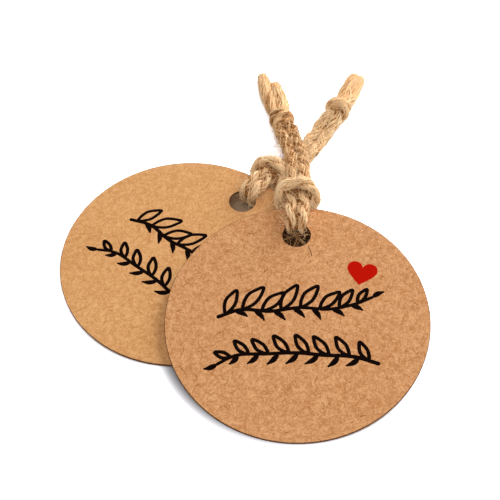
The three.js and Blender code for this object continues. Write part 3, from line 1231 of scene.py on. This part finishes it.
def knot_wrap(tag):
    """The middle line of a knot's wraps"""
    to_world = knot_frame(tag)
    scale = tag["knot_scale"]
    wrap = []
    for share in np.linspace(0.0, 1.0, KNOT_POINTS):
        turn = math.tau * KNOT_TURNS * share
        angle = turn + tag["knot_start"]
        close = scale * np.interp(share, *KNOT_CLOSE)
        lean = KNOT_LEAN * math.cos(turn + KNOT_LEAN_TURN) * (1 - KNOT_LEAN_FADE * share)
        along = (share - 0.5) * KNOT_TURNS * KNOT_PITCH * scale + lean + tag["knot_shift"]
        across, upright = KNOT_HALF[0] * close * math.cos(angle), KNOT_HALF[1] * close * math.sin(angle)
        wrap.append(to_world @ Vector((across, along, upright)))
    return smooth_line(wrap)


class HANGTAG_OT_knots(Operator):
    """Wrap the two strands of each string into a knot"""

    bl_idname = "hangtag.knots"
    bl_label = "Knots"

    def execute(self, context):
        string = context.scene.tag_string
        material = fibre_material("spun_jute", string, SPUN_PALE)
        for name, tag in TAGS.items():
            rng = np.random.default_rng(tag["seed"] + 1)
            strands = Strands()
            width = string.thickness * KNOT_STRAND * tag["knot_scale"]
            spin_twine(strands, knot_wrap(tag), width, rng, pale=tag["knot_pale"])
            ends = (-KNOT_CORE_HALF, 0.0, KNOT_CORE_HALF)
            core = [knot_frame(tag) @ Vector((0.0, y + tag["knot_shift"], 0.0)) for y in ends]
            strands.add(smooth_line(core), KNOT_CORE_RADIUS, KNOT_CORE_TONE)
            piece = new_piece(name + "_knot_wraps", strands.mesh(name + "_knot_wraps"), material)
            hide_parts(name + "_knot")
            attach(piece, name + "_string")
        return {"FINISHED"}


class HANGTAG_OT_ends(Operator):
    """Fray the two cut ends beyond each knot into pale soft brushes"""

    bl_idname = "hangtag.ends"
    bl_label = "Frayed ends"

    def execute(self, context):
        string = context.scene.tag_string
        material = fibre_material("frayed_jute", string, FRAYED_PALE)
        for name, tag in TAGS.items():
            rng = np.random.default_rng(tag["seed"] + 2)
            before, last = (Vector(point) for point in tag["ends"][-2:])
            middle = smooth_line([tag["knot"], *tag["ends"], last + (last - before) * END_REACH])
            side, upright = carried_sides(middle)
            strands = Strands()
            for offset, length, fat in tag["end_bundles"]:
                count = int(len(middle) * length)
                sideways = offset * np.interp(np.linspace(0.0, 1.0, count), *END_APART)
                line = middle[:count] + side[:count] * sideways[:, None]
                fray_end(strands, line, side[:count], upright[:count], fat, rng)
            piece = new_piece(name + "_frayed_ends", strands.mesh(name + "_frayed_ends"), material)
            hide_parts(name + "_end_left", name + "_end_right")
            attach(piece, name + "_string")
        return {"FINISHED"}


def fray_end(strands, line, side, upright, fat, rng):
    """One untwisted strand end: a soft bundle of fibres with a round tip, and wisps that leave it"""
    count = len(line)
    outline = np.interp(np.linspace(0.0, 1.0, count), *END_OUTLINE) * fat
    strands.add(line[:-2], (END_FLAT * outline)[:-2], END_CORE_TONE)
    for _ in range(END_FIBRES):
        out = math.sqrt(rng.uniform(*END_OUT))
        soonest = END_INSIDE_LAST if out < END_INSIDE else END_OUTSIDE_LAST
        last = max(int(count * rng.uniform(soonest, 1.0)), END_FEWEST_POINTS)
        first = int(rng.uniform(0.0, END_LATE) * last) if rng.uniform() < END_LATE_SHARE else 0
        turn = rng.uniform(0, math.tau) + math.tau * measured(line) / END_TURN * rng.normal(*END_TURNS)
        drift, rise = (wander(rng, count, END_WANDER_POINTS, size) for size in END_WANDER)
        path = (
            line
            + side * (outline * out * np.cos(turn) + drift)[:, None]
            + upright * (END_FLAT * outline * out * np.sin(turn) + rise)[:, None]
        )[first:last]
        steps = np.linspace(0, 1, len(path))
        radii = rng.uniform(*END_RADII) * np.interp(steps, *END_TAPER)
        tone = rng.normal(*END_TONE) + END_TONE_RISE * (steps - 0.5)
        strands.add(path, radii, np.clip(tone, 0, 1))
    onward = END_WISP_ALONG * unit(line[-1] - line[-END_WISP_SPAN])
    for _ in range(END_WISPS):
        at = int(count * rng.uniform(*END_WISP_PLACE))
        outward = outwards(side[at], upright[at], rng.uniform(0, math.tau))
        root = line[at] + END_WISP_ROOT * outline[at] * outward
        length = rng.uniform(*END_WISP_LENGTH)
        hair = hair_line(root, END_WISP_OUT * outward, onward, length, END_WISP_CURL, rng)
        strands.add(hair, END_WISP_RADIUS * np.linspace(1.0, END_WISP_THIN, len(hair)), END_WISP_TONE)


def bend_with_string(piece):
    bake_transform(piece)


class HANGTAG_OT_strings(Operator):
    """Spin each string and hitch it through its card's hole"""

    bl_idname = "hangtag.strings"
    bl_label = "Strings"

    def execute(self, context):
        card, string = context.scene.tag_card, context.scene.tag_string
        material = fibre_material("spun_jute", string, SPUN_PALE)
        for name, tag in TAGS.items():
            rng = np.random.default_rng(tag["seed"])
            line = twine_line(name, card)
            strands = Strands()
            width, loose, pale = twine_state(name, card, line)
            spin_twine(strands, line, string.thickness * width, rng, loose, pale)
            add_shade_fillers(strands, name, card)
            piece = new_piece(name + "_twine", strands.mesh(name + "_twine"), material)
            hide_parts(name + "_hitch", name + "_tail_left", name + "_tail_right")
            bend_with_string(piece)
        return {"FINISHED"}


class HANGTAG_OT_fuzz(Operator):
    """Raise loose fibres from the strings"""

    bl_idname = "hangtag.fuzz"
    bl_label = "Fuzz"

    def execute(self, context):
        card, string = context.scene.tag_card, context.scene.tag_string
        material = fibre_material("loose_jute", string, LOOSE_PALE)
        for name, tag in TAGS.items():
            rng = np.random.default_rng(tag["seed"] + 3)
            strands = Strands(FUZZ_SIDES)
            add_fuzz(strands, name, card, string, rng)
            add_web(strands, name, card, rng)
            add_strays(strands, name, card)
            piece = new_piece(name + "_fuzz", strands.mesh(name + "_fuzz"), material)
            bend_with_string(piece)
        return {"FINISHED"}


def add_fuzz(strands, name, card, string, rng):
    """Hairs that stand off the string all along it, clear of the board and the table"""
    line = twine_line(name, card)
    side, upright = carried_sides(line)
    tangent = unit(np.gradient(line, axis=0))
    to_tag = tag_matrix(name, card).inverted()
    while strands.made < string.fuzz:
        at = rng.integers(0, len(line))
        outward = outwards(side[at], upright[at], rng.uniform(0, math.tau))
        lean = tangent[at] * rng.choice((-1.0, 1.0)) * rng.uniform(*FUZZ_LEAN)
        length = rng.uniform(*FUZZ_LENGTH)
        root = line[at] + outward * FUZZ_ROOT * string.thickness
        hair = hair_line(root, outward * FUZZ_OUT, lean, length, FUZZ_CURL, rng)
        if hits_board(hair, to_tag, card) or hair[:, 2].min() < TABLE_GAP:
            continue
        radii = rng.uniform(*FUZZ_RADIUS) * np.linspace(1.0, FUZZ_THIN, len(hair))
        strands.add(hair, radii, np.clip(rng.normal(*FUZZ_TONE), 0, 1))


def add_web(strands, name, card, rng):
    """Loose fibres across the hole, a few pale ones at the top and a dark mat of them just below the board,
    which is painted shade in the hole
    """
    placed = from_hole(name, card)
    radius = card.hole_diameter / 2
    top_count, shade_mat_count = TAGS[name]["web"]
    for i in range(top_count + shade_mat_count):
        in_shade_mat = i >= top_count
        depth = rng.uniform(*(SHADE_MAT_HEIGHT if in_shade_mat else WEB_HEIGHT))
        reach = radius * (rng.uniform(*SHADE_MAT_REACH) if in_shade_mat else WEB_REACH)
        first = rng.uniform(0, math.tau)
        second = first + math.pi + rng.normal(0.0, WEB_TURN_SPREAD)
        start, end = (Vector((reach * math.cos(a), reach * math.sin(a), depth)) for a in (first, second))
        level, rise = WEB_MIDDLE_SPREAD
        middle = start.lerp(end, 0.5) + Vector((*rng.normal(0.0, level, 2), rng.normal(0.0, rise)))
        line = smooth_line([placed(point) for point in (start, middle, end)])
        fat = rng.uniform(*(SHADE_MAT_RADIUS if in_shade_mat else WEB_RADIUS))
        # The mat's fibres are dark as painted shade in the hole
        strands.add(line, fat, SHADE_MAT_TONE if in_shade_mat else rng.uniform(*WEB_TONE))


def add_strays(strands, name, card):
    """Fibres that lie on the board"""
    to_world = tag_matrix(name, card)
    for start, end in TAGS[name]["stray"]:
        start, end = (to_world @ Vector((*at, card.thickness / 2 + STRAY_RADIUS)) for at in (start, end))
        middle = start.lerp(end, 0.5) + Vector((STRAY_BEND, 0.0, 0.0))
        strands.add(smooth_line([start, middle, end]), STRAY_RADIUS, STRAY_TONE)


def hits_board(points, to_tag, card):
    """Whether any of the points lies in the card's board"""
    for point in points:
        local = to_tag @ Vector(point)
        in_slab = abs(local.z) < card.thickness / 2 + TABLE_GAP
        in_rim = math.hypot(local.x, local.y) < card.diameter / 2
        in_hole = math.hypot(local.x, local.y - hole_offset(card)) < card.hole_diameter / 2
        if in_slab and in_rim and not in_hole:
            return True
    return False


# The stage

class HANGTAG_OT_stage(Operator):
    """Set the floor, the soft lamps, the world and the camera"""

    bl_idname = "hangtag.stage"
    bl_label = "Stage"

    def execute(self, context):
        scene, stage = context.scene, context.scene.tag_stage
        mesh = bpy.data.meshes.new("floor")
        bm = bmesh.new()
        bmesh.ops.create_grid(bm, x_segments=1, y_segments=1, size=FLOOR_SIZE)
        bm.to_mesh(mesh)
        bm.free()
        floor = new_piece("floor", mesh, floor_material(stage.floor, scene.tag_card))
        place_lamp("main_lamp", MAIN_LAMP_PLACE, MAIN_LAMP_SIZE, stage.lamp)
        place_lamp("top_lamp", TOP_LAMP_PLACE, TOP_LAMP_SIZE, stage.lamp * TOP_SHARE)
        set_world(scene, stage)
        scene.view_settings.view_transform = "Standard"
        set_camera(scene)
        return {"FINISHED"}


def set_world(scene, stage):
    """A dim warm light from all round, which the camera sees as white"""
    world = bpy.data.worlds.new("studio")
    world.use_nodes = True
    tree = world.node_tree
    background = tree.nodes["Background"]
    seen = seen_directly(tree)
    sky = mix_colour(tree, "MIX", seen, stage.sky_colour, WHITE)
    strength = map_range(tree, seen, to_min=stage.sky)
    join(tree, (strength, background.inputs["Strength"]), (sky, background.inputs["Color"]))
    scene.world = world


def seen_directly(tree):
    """1 for rays from the camera, mirrors and glass"""
    path = add_node(tree, "ShaderNodeLightPath")
    total = math_node(tree, "ADD", path.outputs["Is Camera Ray"], path.outputs["Is Glossy Ray"])
    total = math_node(tree, "ADD", total, path.outputs["Is Transmission Ray"])
    return math_node(tree, "MINIMUM", total, 1.0)


def beyond(tree, place, middle, reach):
    """From 0 within the first reach of a point on the floor to 1 beyond the second"""
    distance = add_node(tree, "ShaderNodeVectorMath", operation="DISTANCE")
    distance.inputs[1].default_value = middle
    join(tree, (place.outputs["Object"], distance.inputs[0]))
    return math_node(tree, "POWER", map_range(tree, distance.outputs["Value"], *reach), FADE_POWER)


def floor_material(colour, card):
    """White paper, overexposed to the camera a little way out from under the cards and white far away. Just
    under the cards the camera sees painted shade, grey, and warm brown under the back card's hole, fixed
    where the cards lie at rest
    """
    material, tree, shader = new_material("white_floor", 0.0)
    shader.inputs["Roughness"].default_value = FLOOR_ROUGHNESS
    place = add_node(tree, "ShaderNodeTexCoord")
    middles = {name: tag_matrix(name, card).translation for name in TAGS}
    outside = 1.0
    # Painted shade: just under each card the camera sees a grey colour in place of white, fading out by the
    # distance from the card's middle at rest
    for name, tag in TAGS.items():
        right, up = tag["painted_shade_shift"]
        middle = (middles[name].x + right, middles[name].y + up, 0.0)
        outside = math_node(tree, "MULTIPLY", outside, beyond(tree, place, middle, tag["painted_shade_fade"]))
    # Painted shade seen through the back card's hole: warm brown near the back card's middle, fading into the
    # grey painted shade
    past_hole_shade = beyond(tree, place, (middles["back"].x, middles["back"].y, 0.0), HOLE_SHADE_FADE)
    seen = mix_colour(tree, "MIX", past_hole_shade, PAINTED_HOLE_SHADE, PAINTED_SHADE_UNDER_CARDS)
    seen = mix_colour(tree, "MIX", outside, seen, FLOOR_SEEN)
    direct = seen_directly(tree)
    shown = mix_colour(tree, "MIX", direct, colour, seen)
    far = math_node(tree, "MULTIPLY", direct, beyond(tree, place, (0.0, 0.0, 0.0), FAR_FADE))
    glow = mix_colour(tree, "MIX", far, BLACK, WHITE)
    shader.inputs["Emission Strength"].default_value = 1.0
    join(tree, (shown, shader.inputs["Base Color"]), (glow, shader.inputs["Emission Color"]))
    return material


def place_lamp(name, place, size, power):
    """A square soft lamp that faces the middle of the object"""
    lamp = bpy.data.lights.new(name, "AREA")
    lamp.size = size
    lamp.energy = power
    holder = bpy.data.objects.new(name, lamp)
    bpy.context.scene.collection.objects.link(holder)
    holder.location = place
    holder.rotation_euler = (-Vector(place)).to_track_quat("-Z", "Y").to_euler()


def set_camera(scene):
    """The photograph's camera: it looks down along +Y and is rolled round its view"""
    lens = bpy.data.cameras.new("camera")
    lens.sensor_width = SENSOR_WIDTH
    lens.lens = SENSOR_WIDTH * CAMERA_FOCUS / PICTURE_SIDE
    middle = PICTURE_SIDE / 2
    lens.shift_x = (middle - PICTURE_MIDDLE[0]) / PICTURE_SIDE
    lens.shift_y = (PICTURE_MIDDLE[1] - middle) / PICTURE_SIDE
    lens.clip_start = CAMERA_NEAREST
    camera = bpy.data.objects.new("camera", lens)
    scene.collection.objects.link(camera)
    down, roll = math.radians(CAMERA_DOWN), math.radians(CAMERA_ROLL)
    forward = Vector((0.0, math.cos(down), -math.sin(down)))
    level = Vector((1.0, 0.0, 0.0))
    over = level.cross(forward)
    right = level * math.cos(roll) + over * math.sin(roll)
    up = over * math.cos(roll) - level * math.sin(roll)
    turn = Matrix((right, up, -forward)).transposed()
    camera.matrix_world = Matrix.Translation(CAMERA_PLACE) @ turn.to_4x4()
    scene.camera = camera


class HANGTAG_PT_panel(Panel):
    """The pieces of the hang tags, in the order in which they are made"""

    bl_label = "Hang tags"
    bl_idname = "HANGTAG_PT_panel"
    bl_space_type = "VIEW_3D"
    bl_region_type = "UI"
    bl_category = "Hang tags"

    def draw(self, context):
        for operator in OPERATORS:
            self.layout.operator(operator.bl_idname)
        for group in SETTINGS:
            settings = getattr(context.scene, group)
            for key in settings.__annotations__:
                self.layout.prop(settings, key)


OPERATORS = (
    HANGTAG_OT_stage,
    HANGTAG_OT_cards,
    HANGTAG_OT_print,
    HANGTAG_OT_knots,
    HANGTAG_OT_ends,
    HANGTAG_OT_strings,
    HANGTAG_OT_fuzz,
)
SETTINGS = {
    "tag_card": TagCardSettings,
    "tag_print": TagPrintSettings,
    "tag_string": TagStringSettings,
    "tag_stage": TagStageSettings,
}


def register():
    for cls in (*SETTINGS.values(), *OPERATORS, HANGTAG_PT_panel):
        bpy.utils.register_class(cls)
    for key, cls in SETTINGS.items():
        setattr(bpy.types.Scene, key, PointerProperty(type=cls))


def unregister():
    for key in SETTINGS:
        delattr(bpy.types.Scene, key)
    for cls in (HANGTAG_PT_panel, *reversed(OPERATORS), *reversed(SETTINGS.values())):
        bpy.utils.unregister_class(cls)


def main():
    register()
    bpy.ops.hangtag.stage()
    bpy.ops.hangtag.cards()
    bpy.ops.hangtag.print()
    bpy.ops.hangtag.knots()
    bpy.ops.hangtag.ends()
    bpy.ops.hangtag.strings()
    bpy.ops.hangtag.fuzz()


if __name__ == "__main__":
    main()
